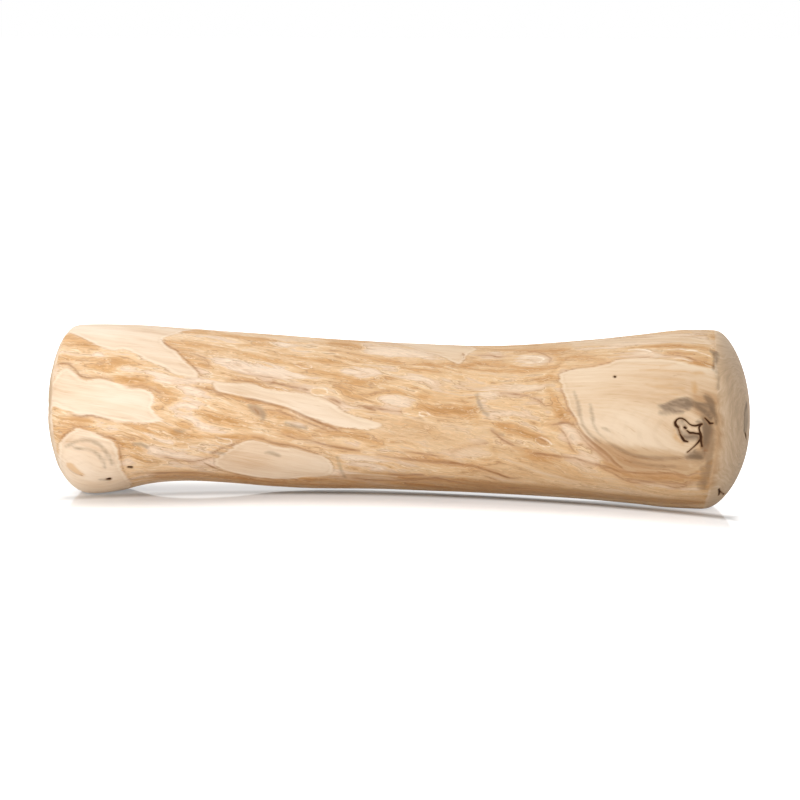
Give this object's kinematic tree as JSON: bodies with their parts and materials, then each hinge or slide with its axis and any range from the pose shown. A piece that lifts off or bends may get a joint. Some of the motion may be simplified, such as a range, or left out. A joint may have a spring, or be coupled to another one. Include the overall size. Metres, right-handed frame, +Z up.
{
  "type": "piece of driftwood",
  "caption": "Barkless length of worn branch wood, flared at both ends and waisted between, with a knot and a rounded branch stub.",
  "frame": {"origin": "on the surface that the stick lies on, under the middle of its box", "axes": "+X along the stick, from its blunt left end to its domed and knotted right end; +Y away from its best side; +Z up"},
  "size_m": [0.2, 0.0544, 0.0503],
  "materials": {
    "wood": "worn smooth and satin, cream wood with an ochre, streaked outer layer left in patches"
  },
  "bodies": {
    "root": {"driftwood": "wood"}
  },
  "joints": []
}
